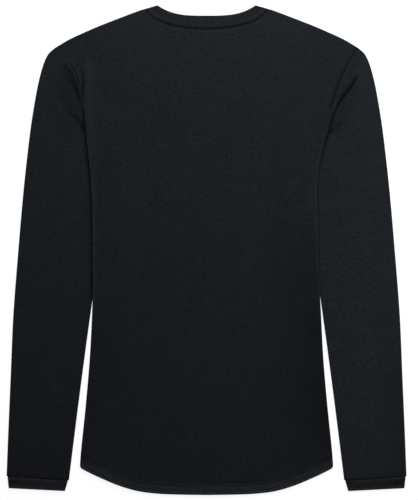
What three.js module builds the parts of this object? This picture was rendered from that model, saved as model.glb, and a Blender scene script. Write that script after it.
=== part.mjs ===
// A long-sleeved base layer top, laid flat with its back upwards and its sleeves at its sides.
// Millimetres. X runs across the shirt, +Y towards the neck, +Z up from the surface it lies on.
// The origin is on that surface, under the middle of the shirt. Left is -X.

import * as THREE from 'three';

// Cloth
const knit = 1.1; // thickness of the jersey
const rib = 1.2; // thickness of the doubled rib at neck and cuffs
const slack = 0.5; // air between cloths that lie on each other
const seamGap = 0.45; // clearance across the shirt where pieces are sewn edge to edge
const flatHeight = 2 * knit + slack; // a sleeve pressed flat
const ribHeight = 2 * rib + slack;
const rolledLip = 0.3; // what is left of a cloth's edge where it rolls into a seam
const hemRise = 0.4; // how far the turned hem stands above the panel
const hemWidth = 14;

// Body
const shoulderX = 221.5;
const shoulderY = 297.5;
const hemCornerX = 186;
const hemCornerY = -316.5;
const frontHemRise = 8; // the front hem is this much shorter at its middle
const neckHalfWidth = 87.8;
const neckPointY = 355;
const backNeckDrop = 29.8;
const frontNeckDrop = 88;
const armholeY = 186; // below this the sleeve is tucked under the body
const armpitY = 96;

// Neckband, at its free edge
const bandHalfWidth = 72;
const bandTipY = 359.5;
const bandMiddleY = 344.2;
const bandCurl = 3.3; // how suddenly the free edge turns up to its tips
const bandWidth = 19;

// Cuffs
const cuffStep = 1.3; // each side of a cuff lies this far inside the sleeve's edge
const cuffSeamInnerY = -338;
const cuffSeamOuterY = -332;
const cuffEndInner = { x: 207.9, y: -353.7 };
const cuffEndOuter = { x: 290.6, y: -349.5 };

// Tuck of the sleeves under the body
const tuckHeight = flatHeight + slack; // the body lies this high over a tucked sleeve
const tuckLead = 9; // the body is at full height this far before the sleeve's edge
const frontRamp = 14; // the front comes down to the surface over this width
const backRamp = 60; // and the back, with air under it, over this one
const tuckEndY = -72; // below this the sleeve lies clear of the body
const tuckFade = 90; // over which the body's side comes down as well

// Side edge of the body with the armhole above it, as half widths
const bodySections = [
  { y: hemCornerY, left: hemCornerX, right: hemCornerX },
  { y: -294, left: 184.3, right: 184.3 },
  { y: -228, left: 177.5, right: 177.5 },
  { y: -162, left: 171.8, right: 171.8 },
  { y: -96, left: 168, right: 168 },
  { y: -60, left: 167, right: 166.2 },
  { y: -20, left: 167, right: 164.5 },
  { y: 46, left: 167.8, right: 162.8 },
  { y: 104, left: 170, right: 162.5 },
  { y: 136, left: 173.3, right: 167.7 },
  { y: 164, left: 176.1, right: 175.8 },
  { y: armholeY, left: 177.9, right: 180 },
  { y: 205, left: 179.5, right: 182 },
  { y: 220, left: 181, right: 185.2 },
  { y: 236, left: 184, right: 190 },
  { y: 250, left: 188.5, right: 195.6 },
  { y: 265, left: 195.5, right: 202.8 },
  { y: 280, left: 205, right: 209.9 },
  { y: shoulderY, left: shoulderX, right: shoulderX },
];

// Hem and shoulder line of one half
const hemLine = [
  { x: 0, y: -359.5 },
  { x: 40, y: -358.9 },
  { x: 70, y: -357.7 },
  { x: 100, y: -354 },
  { x: 129, y: -345.6 },
  { x: 159, y: -333 },
  { x: 179, y: -323.3 },
  { x: 184.5, y: -319.7 },
  { x: hemCornerX, y: hemCornerY },
];
const shoulderLine = [
  { x: neckHalfWidth, y: neckPointY },
  { x: 98, y: 352 },
  { x: 129, y: 340.3 },
  { x: 159, y: 328.5 },
  { x: 188, y: 315.8 },
  { x: 203, y: 308.6 },
  { x: shoulderX, y: shoulderY },
];

// Edges of a sleeve, from cuff to armpit and from cuff to shoulder
const sleeveInnerEdge = [
  { y: cuffSeamInnerY, x: 202.1 },
  { y: -228, x: 188.3 },
  { y: -140, x: 176.7 },
  { y: -68, x: 166.9 },
  { y: 15, x: 156.5 },
  { y: armpitY, x: 147 },
];
const sleeveOuterEdge = [
  { y: cuffSeamOuterY, x: 293.7 },
  { y: -272, x: 291.4 },
  { y: -184, x: 287.6 },
  { y: -96, x: 283.8 },
  { y: -7, x: 277 },
  { y: 81, x: 269.4 },
  { y: 147, x: 262.3 },
  { y: 191, x: 256.6 },
  { y: 235, x: 249.1 },
  { y: 257, x: 244.2 },
  { y: 272, x: 239.8 },
  { y: 281, x: 236.2 },
  { y: 289.5, x: 231 },
  { y: shoulderY, x: shoulderX },
];

// Edge of the tucked sleeve beyond the armpit, which also leads the body up over it
const underarmEdge = [
  { y: armpitY, x: 147 },
  { y: 125, x: 158 },
  { y: 150, x: 168 },
  { y: 170, x: 175 },
  { y: armholeY, x: 179 },
  { y: 200, x: 191 },
  { y: 215, x: 203 },
];

// Soft folds in the upper cloth beside the armholes: a ridge from one point to another
const folds = [
  { fromX: 214, fromY: 268, toX: 189, toY: 222, reach: 11, height: 2.2 },
  { fromX: -205, fromY: 268, toX: -187, toY: 222, reach: 11, height: 1.8 },
  { fromX: 236, fromY: 214, toX: 200, toY: 182, reach: 12, height: 1.4 },
  { fromX: -232, fromY: 222, toX: -200, toY: 188, reach: 12, height: 1.4 },
];

// Where the grids of the pieces have their rows and columns
const armholeStops = [armholeY, 200, 215, 230, 245, 260, 275, 288, shoulderY];
const underarmStops = [armpitY, 125, 150, 170];
const sideStops = [-262, -215, -170, -125, -80, -35, 10, 50, 80];
const sideFractions = [0, 0.0035, 0.028, 0.054, 0.084, 0.12, 0.18, 0.24];
const neckSteps = 12;
const sleeveRows = [
  0, 0.08, 0.16, 0.24, 0.32, 0.4, 0.48, 0.56, 0.64, 0.71, 0.78, 0.84, 0.89, 0.93, 0.96, 0.98, 1,
];
const bandRows = [0, 0.5, 1];
const cuffColumns = 8;

// A smooth function through the rows of a table, from one column to another
function through(rows, from, to) {
  const slope = (a, b) => (b[to] - a[to]) / (b[from] - a[from]);
  const slopes = rows.map((row, i) => {
    const before = rows[Math.max(i - 1, 0)];
    const after = rows[Math.min(i + 1, rows.length - 1)];
    return slope(before, after);
  });
  return (value) => {
    const found = rows.findIndex((row) => row[from] >= value);
    const i = Math.min(Math.max(found === -1 ? rows.length - 1 : found, 1), rows.length - 1);
    const [a, b] = [rows[i - 1], rows[i]];
    const span = b[from] - a[from];
    const t = (value - a[from]) / span;
    if (t <= 0) return a[to] + slopes[i - 1] * (value - a[from]);
    if (t >= 1) return b[to] + slopes[i] * (value - b[from]);
    const blend = t * t * (3 - 2 * t);
    const bend = t * (1 - t) * span * (slopes[i - 1] * (1 - t) - slopes[i] * t);
    return THREE.MathUtils.lerp(a[to], b[to], blend) + bend;
  };
}

const bodyEdge = {
  left: through(bodySections, 'y', 'left'),
  right: through(bodySections, 'y', 'right'),
};
const hemY = through(hemLine, 'x', 'y');
const shoulderLineY = through(shoulderLine, 'x', 'y');
const innerEdgeX = through(sleeveInnerEdge, 'y', 'x');
const outerEdgeX = through(sleeveOuterEdge, 'y', 'x');
const underarmX = through(underarmEdge, 'y', 'x');

// Height that a body panel gains where it climbs over a tucked sleeve
function bodyRise(x, y, ramp) {
  const sleeveEdge = y > armpitY ? underarmX(y) : innerEdgeX(y);
  const top = sleeveEdge - tuckLead;
  const beside = THREE.MathUtils.smoothstep(y, tuckEndY - tuckFade, tuckEndY);
  return tuckHeight * beside * THREE.MathUtils.smoothstep(Math.abs(x), top - ramp, top);
}

// Height that the folds add to the upper cloth, fading with the distance from each ridge
function foldRise(x, y) {
  let rise = 0;
  for (const { fromX, fromY, toX, toY, reach, height } of folds) {
    const ridge = new THREE.Line3(new THREE.Vector3(fromX, fromY), new THREE.Vector3(toX, toY));
    const point = new THREE.Vector3(x, y);
    const distance = ridge.closestPointToPoint(point, true, new THREE.Vector3()).distanceTo(point);
    rise += height * Math.exp(-((distance / reach) ** 2));
  }
  return rise;
}

// A function that gives the point at a fraction of a chain of straight steps between stops
function alongStops(points, fractions) {
  return (fraction) => {
    const found = fractions.findIndex((stop) => stop >= fraction);
    const i = Math.max(1, found === -1 ? fractions.length - 1 : found);
    const t = (fraction - fractions[i - 1]) / (fractions[i] - fractions[i - 1]);
    return new THREE.Vector2().lerpVectors(points[i - 1], points[i], t);
  };
}

// The point at (u, v) of a flat sheet between four edges, each a function that gives a point.
// It lies on the line from lower to upper edge, drawn aside as each side edge bows off that line;
// fade says how much of a side's bow is left at a distance across from it.
function sheetPoint({ lower, upper, left, right, fade }, u, v) {
  const between = (across) => new THREE.Vector2().lerpVectors(lower(across), upper(across), v);
  const leftBow = left(v).sub(between(0));
  const rightBow = right(v).sub(between(1));
  return between(u).addScaledVector(leftBow, fade(u)).addScaledVector(rightBow, fade(1 - u));
}

const evenFade = (distance) => 1 - distance;

// A closed wall between two grids of points, the first grid on its outside or upper side
function wallGeometry(outer, inner, isLoop) {
  const rows = outer.length;
  const columns = outer[0].length;
  const positions = [...outer.flat(), ...inner.flat()].flatMap((point) => point.toArray());
  const out = (row, column) => row * columns + (column % columns);
  const back = (row, column) => (rows + row) * columns + (column % columns);
  const triangles = [];
  const quad = (a, b, c, d) => triangles.push(a, b, c, a, c, d);
  const lastRow = rows - 1;
  const lastColumn = isLoop ? columns : columns - 1;
  for (let j = 0; j < lastColumn; j++) {
    for (let i = 0; i < lastRow; i++) {
      quad(out(i, j), out(i, j + 1), out(i + 1, j + 1), out(i + 1, j));
      quad(back(i, j), back(i + 1, j), back(i + 1, j + 1), back(i, j + 1));
    }
    quad(out(0, j), back(0, j), back(0, j + 1), out(0, j + 1));
    quad(out(lastRow, j), out(lastRow, j + 1), back(lastRow, j + 1), back(lastRow, j));
  }
  for (let i = 0; i < lastRow && !isLoop; i++) {
    quad(out(i, 0), out(i + 1, 0), back(i + 1, 0), back(i, 0));
    quad(out(i, lastColumn), back(i, lastColumn), back(i + 1, lastColumn), out(i + 1, lastColumn));
  }
  const geometry = new THREE.BufferGeometry();
  geometry.setAttribute('position', new THREE.Float32BufferAttribute(positions, 3));
  geometry.setIndex(triangles);
  return geometry;
}

// Body panels: a sheet between hem, sides and armholes, shoulders and neck
const sideLength = shoulderY - hemCornerY;
const stopsBelowShoulder = [...sideStops, ...underarmStops, ...armholeStops.slice(0, -1)];
const panelRows = [
  0,
  hemWidth / sideLength,
  (hemWidth + rolledLip) / sideLength,
  ...stopsBelowShoulder.map((y) => (y - hemCornerY) / sideLength),
  1 - knit / sideLength,
  1,
];
const neckAngle = (u) => Math.PI * (u - 0.5);
const neckStops = Array.from({ length: neckSteps + 1 }, (_, i) => i / neckSteps);
const panelTop = shoulderX - seamGap;
const neckFractions = neckStops.map((u) => 0.5 + (neckHalfWidth * Math.sin(neckAngle(u))) / (2 * panelTop));
const panelColumns = [...sideFractions, ...neckFractions, ...sideFractions.map((u) => 1 - u).reverse()];

function panelSheet(neckDrop, hemShortening) {
  const neckY = (x) => neckPointY - neckDrop * Math.sqrt(Math.max(0, 1 - (x / neckHalfWidth) ** 2));
  const sidePoint = (side, sign) => (v) => {
    const y = hemCornerY + sideLength * v;
    const clearance = y >= armholeY ? seamGap : 0;
    return new THREE.Vector2(sign * (bodyEdge[side](y) - clearance), y);
  };
  const left = sidePoint('left', -1);
  const right = sidePoint('right', 1);
  return {
    left,
    right,
    fade: (distance) => 1 - THREE.MathUtils.smoothstep(distance, 0, neckFractions[0]),
    lower: (u) => {
      const x = hemCornerX * (2 * u - 1);
      return new THREE.Vector2(x, hemY(Math.abs(x)) + hemShortening * (1 - (x / hemCornerX) ** 2));
    },
    upper: (u) => {
      const x = panelTop * (2 * u - 1);
      return new THREE.Vector2(x, Math.abs(x) < neckHalfWidth ? neckY(x) : shoulderLineY(Math.abs(x)));
    },
  };
}

// How much of the cloth's thickness is left at a point of a panel: a lip where its edge rolls in
function panelThickness(row, column) {
  const v = panelRows[row];
  const u = panelColumns[column];
  const atSide = (u === 0 || u === 1) && hemCornerY + sideLength * v <= armholeY;
  const atShoulder = v === 1 && Math.abs(2 * u - 1) * panelTop >= neckHalfWidth;
  return atSide || atShoulder ? rolledLip : knit;
}

function panelPoints(sheet, height) {
  return panelRows.map((v, row) => panelColumns.map((u, column) => {
    const { x, y } = sheetPoint(sheet, u, v);
    return new THREE.Vector3(x, y, height(x, y, row, column));
  }));
}

function backGeometry() {
  const sheet = panelSheet(backNeckDrop, 0);
  const under = (x, y) => bodyRise(x, y, backRamp) + knit + slack + foldRise(x, y);
  const hem = (row) => (row < 2 ? hemRise : 0);
  const upper = (x, y, row, column) => under(x, y) + panelThickness(row, column) + hem(row);
  return wallGeometry(panelPoints(sheet, upper), panelPoints(sheet, under), false);
}

function frontGeometry() {
  const sheet = panelSheet(frontNeckDrop, frontHemRise);
  const upper = (x, y) => bodyRise(x, y, frontRamp) + knit;
  const under = (x, y, row, column) => upper(x, y) - panelThickness(row, column);
  return wallGeometry(panelPoints(sheet, upper), panelPoints(sheet, under), false);
}

// A tube pressed flat: an upper and a lower sheet, joined by a round fold at either side
const foldAngles = [90, 45, 0, -45, -90].map((degrees) => THREE.MathUtils.degToRad(degrees));

function flatTubeGeometry({ upperSheet, lowerSheet, height, wall, acrossStops, rows, width, rise }) {
  const [up, down] = [foldAngles[0], foldAngles[4]];
  const inside = acrossStops.slice(1, -1);
  const loop = [
    ...inside.map((u) => ({ u, angle: up })),
    ...foldAngles.map((angle) => ({ u: 1, angle })),
    ...inside.toReversed().map((u) => ({ u, angle: down })),
    ...foldAngles.toReversed().map((angle) => ({ u: 0, angle })),
  ];
  const grid = (radius) => rows.map((v) => loop.map(({ u, angle }) => {
    const inset = (height / 2 - radius * Math.cos(angle)) / width(v);
    const across = THREE.MathUtils.clamp(u, inset, 1 - inset);
    const share = (1 + Math.sin(angle)) / 2;
    const low = sheetPoint(lowerSheet, across, v);
    const { x, y } = low.lerp(sheetPoint(upperSheet, across, v), share);
    return new THREE.Vector3(x, y, height / 2 + radius * Math.sin(angle) + share * rise(x, y));
  }));
  return wallGeometry(grid(height / 2), grid(height / 2 - wall), true);
}

// Sleeves: from the cuff seam up to the cap, which follows the armhole and then the underarm
const capStops = [...underarmStops, ...armholeStops];
const capX = (side, y) => (y < armholeY ? underarmX(y) : bodyEdge[side](y));

function sleeveGeometry(side) {
  const sign = side === 'left' ? -1 : 1;
  const cap = capStops.map((y) => new THREE.Vector2(capX(side, y), y));
  const lengths = cap.map((point, i) => (i === 0 ? 0 : point.distanceTo(cap[i - 1])));
  const capLength = lengths.reduce((sum, length) => sum + length);
  const capFractions = lengths.map((_, i) => lengths.slice(0, i + 1).reduce((a, b) => a + b) / capLength);
  const innerY = (v) => THREE.MathUtils.lerp(cuffSeamInnerY, armpitY, v);
  const outerY = (v) => THREE.MathUtils.lerp(cuffSeamOuterY, shoulderY, v);
  const innerPoint = (v) => new THREE.Vector2(innerEdgeX(innerY(v)), innerY(v));
  const outerPoint = (v) => new THREE.Vector2(outerEdgeX(outerY(v)), outerY(v));
  const mirrored = (edge) => (t) => edge(t).multiply(new THREE.Vector2(sign, 1));
  const fromLeft = (edge) => mirrored((u) => edge(sign === 1 ? u : 1 - u));
  const cuffSeam = (u) => new THREE.Vector2().lerpVectors(innerPoint(0), outerPoint(0), u);
  const sheet = {
    left: mirrored(sign === 1 ? innerPoint : outerPoint),
    right: mirrored(sign === 1 ? outerPoint : innerPoint),
    lower: fromLeft(cuffSeam),
    upper: fromLeft(alongStops(cap, capFractions)),
    fade: evenFade,
  };
  const acrossStops = sign === 1 ? capFractions : capFractions.map((u) => 1 - u).reverse();
  return flatTubeGeometry({
    upperSheet: sheet,
    lowerSheet: sheet,
    height: flatHeight,
    wall: knit,
    acrossStops,
    rows: sleeveRows,
    width: (v) => THREE.MathUtils.lerp(outerPoint(0).x - innerPoint(0).x, capLength, v),
    rise: foldRise,
  });
}

// Cuffs: a short tube just inside the sleeve's end, narrowing to its rounded corner
function cuffGeometry(side) {
  const sign = side === 'left' ? -1 : 1;
  const seamInner = new THREE.Vector2(innerEdgeX(cuffSeamInnerY) + cuffStep, cuffSeamInnerY - seamGap);
  const seamOuter = new THREE.Vector2(outerEdgeX(cuffSeamOuterY) - cuffStep, cuffSeamOuterY - seamGap);
  const endInner = new THREE.Vector2(cuffEndInner.x, cuffEndInner.y);
  const endOuter = new THREE.Vector2(cuffEndOuter.x, cuffEndOuter.y);
  const mirror = new THREE.Vector2(sign, 1);
  const line = (a, b) => (t) => new THREE.Vector2().lerpVectors(a, b, t).multiply(mirror);
  const [seamLeft, seamRight] = sign === 1 ? [seamInner, seamOuter] : [seamOuter, seamInner];
  const [endLeft, endRight] = sign === 1 ? [endInner, endOuter] : [endOuter, endInner];
  const sheet = {
    left: line(endLeft, seamLeft),
    right: line(endRight, seamRight),
    lower: line(endLeft, endRight),
    upper: line(seamLeft, seamRight),
    fade: evenFade,
  };
  return flatTubeGeometry({
    upperSheet: sheet,
    lowerSheet: sheet,
    height: ribHeight,
    wall: rib,
    acrossStops: Array.from({ length: cuffColumns + 1 }, (_, i) => i / cuffColumns),
    rows: bandRows,
    width: (v) => THREE.MathUtils.lerp(endLeft.distanceTo(endRight), seamLeft.distanceTo(seamRight), v),
    rise: () => 0,
  });
}

// Neckband: a flat ring whose upper half follows the back neck and whose lower half the front
function neckbandSheet(neckDrop, freeEdge) {
  const seam = alongStops(neckStops.map((u) => new THREE.Vector2(
    (neckHalfWidth - seamGap) * Math.sin(neckAngle(u)),
    neckPointY - (neckDrop - seamGap) * Math.cos(neckAngle(u)),
  )), neckStops);
  const side = (u) => (v) => new THREE.Vector2().lerpVectors(seam(u), freeEdge(u), v);
  return { lower: seam, upper: freeEdge, left: side(0), right: side(1), fade: evenFade };
}

function neckbandGeometry() {
  const backFreeEdge = (u) => {
    const across = (Math.sin(neckAngle(u)) + (2 * u - 1)) / 2;
    const y = bandMiddleY + (bandTipY - bandMiddleY) * Math.abs(across) ** bandCurl;
    return new THREE.Vector2(bandHalfWidth * across, y);
  };
  const frontFreeDrop = bandTipY - (neckPointY - frontNeckDrop + bandWidth);
  const frontFreeEdge = (u) => new THREE.Vector2(
    bandHalfWidth * Math.sin(neckAngle(u)),
    bandTipY - frontFreeDrop * Math.cos(neckAngle(u)),
  );
  return flatTubeGeometry({
    upperSheet: neckbandSheet(backNeckDrop, backFreeEdge),
    lowerSheet: neckbandSheet(frontNeckDrop, frontFreeEdge),
    height: ribHeight,
    wall: rib,
    acrossStops: neckStops,
    rows: bandRows,
    width: () => (Math.PI * (backNeckDrop + frontNeckDrop)) / 2,
    rise: () => 0,
  });
}

// Assembly
const jersey = { color: 0x1b1e21, roughness: 0.85, metalness: 0 };
const ribbing = { color: 0x232428, roughness: 0.9, metalness: 0 };

function piece(name, geometry, finish) {
  const mesh = new THREE.Mesh(geometry, new THREE.MeshStandardMaterial(finish));
  mesh.name = name;
  return mesh;
}

const group = new THREE.Group();
group.add(
  piece('front', frontGeometry(), jersey),
  piece('back', backGeometry(), jersey),
  piece('sleeve_left', sleeveGeometry('left'), jersey),
  piece('sleeve_right', sleeveGeometry('right'), jersey),
  piece('neckband', neckbandGeometry(), ribbing),
  piece('cuff_left', cuffGeometry('left'), ribbing),
  piece('cuff_right', cuffGeometry('right'), ribbing),
);

export default group;
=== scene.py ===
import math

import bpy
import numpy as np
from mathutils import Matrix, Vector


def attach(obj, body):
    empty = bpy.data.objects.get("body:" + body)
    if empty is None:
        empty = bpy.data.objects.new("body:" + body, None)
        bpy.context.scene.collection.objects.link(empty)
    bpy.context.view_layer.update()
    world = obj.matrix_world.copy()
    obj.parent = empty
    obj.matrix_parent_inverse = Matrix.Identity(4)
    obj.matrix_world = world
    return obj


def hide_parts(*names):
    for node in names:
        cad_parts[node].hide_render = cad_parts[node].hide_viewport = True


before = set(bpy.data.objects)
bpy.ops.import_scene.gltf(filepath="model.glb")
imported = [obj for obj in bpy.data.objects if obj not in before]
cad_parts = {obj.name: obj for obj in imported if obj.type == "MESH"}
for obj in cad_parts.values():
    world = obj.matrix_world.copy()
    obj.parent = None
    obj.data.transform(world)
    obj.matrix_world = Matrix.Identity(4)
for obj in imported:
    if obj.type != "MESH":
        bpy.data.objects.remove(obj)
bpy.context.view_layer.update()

# A black base layer top laid flat with its back up, photographed from straight above.
# Sizes are in millimetres until a mesh is made. X runs across the shirt, +Y towards the neck,
# +Z up from the surface that it lies on. Left is -X.

MM = 0.001

# Cloth
KNIT = 1.1
RIB = 1.2
SLACK = 0.5
SEAM_LAP = 0.1
FLAT_HEIGHT = 2 * KNIT + SLACK
RIB_HEIGHT = 2 * RIB + SLACK
SEAM_LEVEL = KNIT + SLACK / 2
HEM_WIDTH = 14
HEM_RISE = 0.4
STITCH_ROWS = (11.2, 5.6)
STITCH_DEPTH = 0.22
STITCH_PITCH = 2.9
THREAD_RADIUS = 0.26
EDGE_REACH = 2.4
HEM_FOLD = 0.8
WALE, COURSE = 0.7, 0.55
RIB_PITCH, RIB_COURSE = 1.9, 0.6

# Body
SHOULDER_X, SHOULDER_Y = 221.5, 297.5
HEM_CORNER_X, HEM_CORNER_Y = 186, -316.5
SIDE_LENGTH = SHOULDER_Y - HEM_CORNER_Y
FRONT_HEM_RISE = 8
NECK_HALF_WIDTH = 87.8
NECK_POINT_Y = 355
BACK_NECK_DROP = 29.8
FRONT_NECK_DROP = 88
NECK_OPENING = 30
ARMHOLE_Y = 186
ARMPIT_Y = 96
PANEL_TOP = SHOULDER_X + SEAM_LAP

# Neckband and cuffs
BAND_HALF_WIDTH = 72
BAND_TIP_Y = 359.5
BAND_MIDDLE_Y = 344.2
BAND_CURL = 3.3
BAND_WIDTH = 19
CUFF_STEP = 1.3
CUFF_DEPTH = 16
CUFF_END_WIDTH, CUFF_SEAM_WIDTH = 80.6, 88
CUFF_SEAM_INNER_Y, CUFF_SEAM_OUTER_Y = -338, -332
CUFF_SEAM_INNER_X, CUFF_SEAM_OUTER_X = 202.1, 293.7
CUFF_END_INNER = np.array([207.9, -353.7])
CUFF_END_OUTER = np.array([290.6, -349.5])

# Painted light of each sleeve at its cuff and its cap, the right one lighter as lit from that side,
# painted light of each cuff, and the painted shade of the body's edge on each sleeve: how wide it is
# full, how far it fades and how dark it is
SLEEVE_PAINTED_LIGHT = {"left": (0.98, 1.02), "right": (1.27, 1.04)}
CUFF_PAINTED_LIGHT = {"left": 1.3, "right": 1.06}
SHADE_BESIDE = {"left": (0.6, 3.2, 0.66), "right": (0.2, 1.6, 0.42)}

# The body's climb over the tucked sleeves
TUCK_HEIGHT = FLAT_HEIGHT + SLACK
TUCK_LEAD = 9
FRONT_RAMP = 14
BACK_RAMP = 60
TUCK_END_Y = -72
TUCK_FADE = 90

# Height, half width on the left, half width on the right
BODY_SECTIONS = [
    (HEM_CORNER_Y, HEM_CORNER_X, HEM_CORNER_X),
    (-294, 184.3, 184.3),
    (-228, 177.5, 177.5),
    (-162, 171.8, 171.8),
    (-96, 168, 168),
    (-60, 167, 166.2),
    (-20, 167, 164.5),
    (46, 167.8, 162.8),
    (104, 170, 162.5),
    (136, 173.3, 167.7),
    (164, 176.1, 175.8),
    (ARMHOLE_Y, 177.9, 180),
    (205, 179.5, 182),
    (220, 181, 185.2),
    (236, 184, 190),
    (250, 188.5, 195.6),
    (265, 195.5, 202.8),
    (280, 205, 209.9),
    (SHOULDER_Y, SHOULDER_X, SHOULDER_X),
]

# Distance from the middle, height of the hem and of the shoulder seam
HEM_LINE = [
    (0, -359.5), (40, -358.9), (70, -357.7), (100, -354), (129, -345.6), (159, -333),
    (179, -323.3), (184.5, -319.7), (HEM_CORNER_X, HEM_CORNER_Y),
]
SHOULDER_LINE = [
    (NECK_HALF_WIDTH, NECK_POINT_Y), (98, 352), (129, 340.3), (159, 328.5), (188, 315.8),
    (203, 308.6), (SHOULDER_X, SHOULDER_Y),
]

# Height, distance from the middle of a sleeve's inner and outer fold and of its tucked underarm
SLEEVE_INNER_EDGE = [
    (CUFF_SEAM_INNER_Y, CUFF_SEAM_INNER_X), (-228, 188.3), (-140, 176.7), (-68, 166.9), (15, 156.5),
    (ARMPIT_Y, 147),
]
SLEEVE_OUTER_EDGE = [
    (CUFF_SEAM_OUTER_Y, CUFF_SEAM_OUTER_X), (-272, 291.4), (-184, 287.6), (-96, 283.8), (-7, 277),
    (81, 269.4), (147, 262.3), (191, 256.6), (235, 249.1), (257, 244.2), (272, 239.8), (281, 236.2),
    (289.5, 231), (SHOULDER_Y, SHOULDER_X),
]
UNDERARM_EDGE = [
    (ARMPIT_Y, 147), (125, 158), (150, 168), (170, 175), (ARMHOLE_Y, 179), (200, 191), (215, 203),
]

# Creases in the upper cloth: points (x, y, depth) along each, and its half width
CREASES = [
    {"line": [(221.2, 257.6, 0), (219.6, 255, 2.8), (215.4, 245.8, 5), (207.6, 234.3, 6),
              (197.6, 221.2, 4.6), (191.8, 211, 3.9), (186.6, 200.5, 3.3), (183.7, 190.2, 3.8),
              (181.5, 177.1, 3.5), (176.2, 164.1, 3.8), (172.1, 151, 2.2), (168.4, 136.3, 1.4),
              (165.6, 123.2, 0.6), (164, 104, 0.2)], "width": 2.3},
    {"line": [(202, 189, 0), (195, 184, 1), (188, 178.6, 2), (182.4, 173.5, 2.2)], "width": 3},
    {"line": [(-213, 272, 0), (-207, 266, 0.7), (-204.5, 256, 0.5), (-199, 246, 0.9),
              (-193.4, 236, 2), (-190.8, 229, 1.7), (-188, 221, 1.4), (-185, 213, 1.4),
              (-182.6, 206, 1.5), (-181, 197, 1)], "width": 3.2},
    {"line": [(-184.4, 272, 0), (-183.9, 267, 1.3), (-182.8, 256, 1.8), (-181.8, 244, 2.3),
              (-181.3, 232, 2.6), (-181.2, 224, 0.5), (-181.4, 214, 0.4)], "width": 1.7},
    {"line": [(-208, 200, 0), (-200, 197.5, 0.9), (-193, 193, 1.6), (-187.3, 188, 2.4),
              (-182.6, 183, 3.2), (-180, 176, 3.2)], "width": 3},
]

# Soft swells in the upper cloth: points (x, y, height) along each, and its half width
SWELLS = [
    {"line": [(219, 262, 1), (210.6, 248.6, 2.8), (202.4, 237.2, 3), (193, 223.8, 3),
              (188.4, 211.4, 2.8), (183.4, 201, 1.6)], "width": 4.6},
    {"line": [(-203, 272, 0.8), (-193.8, 258, 2.6), (-188.4, 246, 3.2), (-185.2, 235, 3.4),
              (-183.6, 222, 2)], "width": 3.2},
    {"line": [(-177, 282, 0.4), (-175, 254, 2.4), (-174, 226, 2.6), (-173, 196, 1.8), (-170, 160, 1),
              (-166, 110, 0.3)], "width": 7},
    {"line": [(198, 284, 0.4), (184, 256, 1.4), (176, 228, 1.6), (172, 200, 1.2), (168, 160, 0.6),
              (160, 110, 0.2)], "width": 9},
    {"line": [(236, 216, 0.4), (214, 196, 1.8), (199, 174, 1.5), (190, 146, 0.4)], "width": 11},
    {"line": [(-236, 226, 0.4), (-216, 208, 1.6), (-200, 181, 1.5), (-191, 156, 0.4)], "width": 11},
    {"line": [(233, 280, 0.2), (229, 260, 1), (225, 236, 0.9), (215, 214, 0.3)], "width": 7},
    {"line": [(-232, 284, 0.2), (-223, 262, 1), (-212, 240, 1.2), (-201, 220, 0.4)], "width": 8},
]

# Broad shades and narrow lights of the cloth beside the armholes: points (x, y, strength)
SHADES = [
    {"line": [(-214, 268, 0.8), (-209, 258, 1.7), (-205, 246, 1.8), (-203, 235, 1.6),
              (-204, 225, 1.4), (-203, 214, 1.5), (-199, 204, 1.6), (-195, 195, 1.2),
              (-192, 186, 1.2), (-187, 177, 0.5)], "width": 9},
    {"line": [(-216, 236, 0.3), (-215, 226, 0.9), (-213, 214, 0.5)], "width": 7},
    {"line": [(-191, 221, 0.5), (-189, 215, 1), (-188, 210, 0.3)], "width": 3},
    {"line": [(221, 284, 0.7), (212, 262, 0.9), (207, 250, 0.9), (199, 237, 1.5),
              (193, 226, 1.3)], "width": 7},
    {"line": [(216, 232, 0.7), (205, 218, 1.2), (199, 206, 1.4), (197, 192, 1),
              (193, 178, 0.9)], "width": 10},
    {"line": [(222, 234, 0.3), (221, 222, 0.7), (218, 208, 0.5)], "width": 9},
]
LIGHTS = [
    {"line": [(188.4, 217, 0.4), (186.2, 211, 1.3), (184.2, 203, 2.4), (180.8, 193, 1.2),
              (174.4, 184, 0.3)], "width": 2},
    {"line": [(-173, 282, 0.3), (-173, 268, 0.9), (-172.5, 252, 1), (-172, 230, 0.7), (-171, 190, 0.5),
              (-169, 150, 0.2)], "width": 6},
    {"line": [(-197.5, 266, 0.6), (-193.8, 256, 1.2), (-189.6, 246, 1.3), (-184.6, 235, 1.4),
              (-182.5, 225, 1.8), (-181, 215, 1.6), (-181.4, 208, 0.2)], "width": 1.8},
    {"line": [(-197, 210, 0), (-190, 203, 0.6), (-184.6, 199, 1), (-182, 196, 0.8)], "width": 2.4},
]


def xy(x, y):
    """Points from their coordinates, spread to one shape."""
    return np.stack(np.broadcast_arrays(x, y), -1).astype(float)


def raised(points, height):
    """Flat points with a height as their third coordinate."""
    return np.concatenate([points, height[..., None]], -1)


def lerp(start, end, share):
    """The point or number at a share of the way from start to end."""
    return start + (end - start) * share


def smoothstep(value, low, high):
    """0 below low, 1 above high, and the cubic 3 t t - 2 t t t between."""
    t = np.clip((value - low) / (high - low), 0, 1)
    return t * t * (3 - 2 * t)


def bell(distance, width):
    """1 at no distance, falling as e to the minus square of the distance over the width."""
    return np.exp(-((distance / width) ** 2))


def quarter_round(distance, reach):
    """How far down the quarter of an ellipse an edge has rolled: 1 at the edge, 0 at its reach."""
    t = 1 - np.clip(distance / reach, 0, 1)
    return 1 - np.sqrt(np.maximum(1 - t * t, 0))


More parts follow.
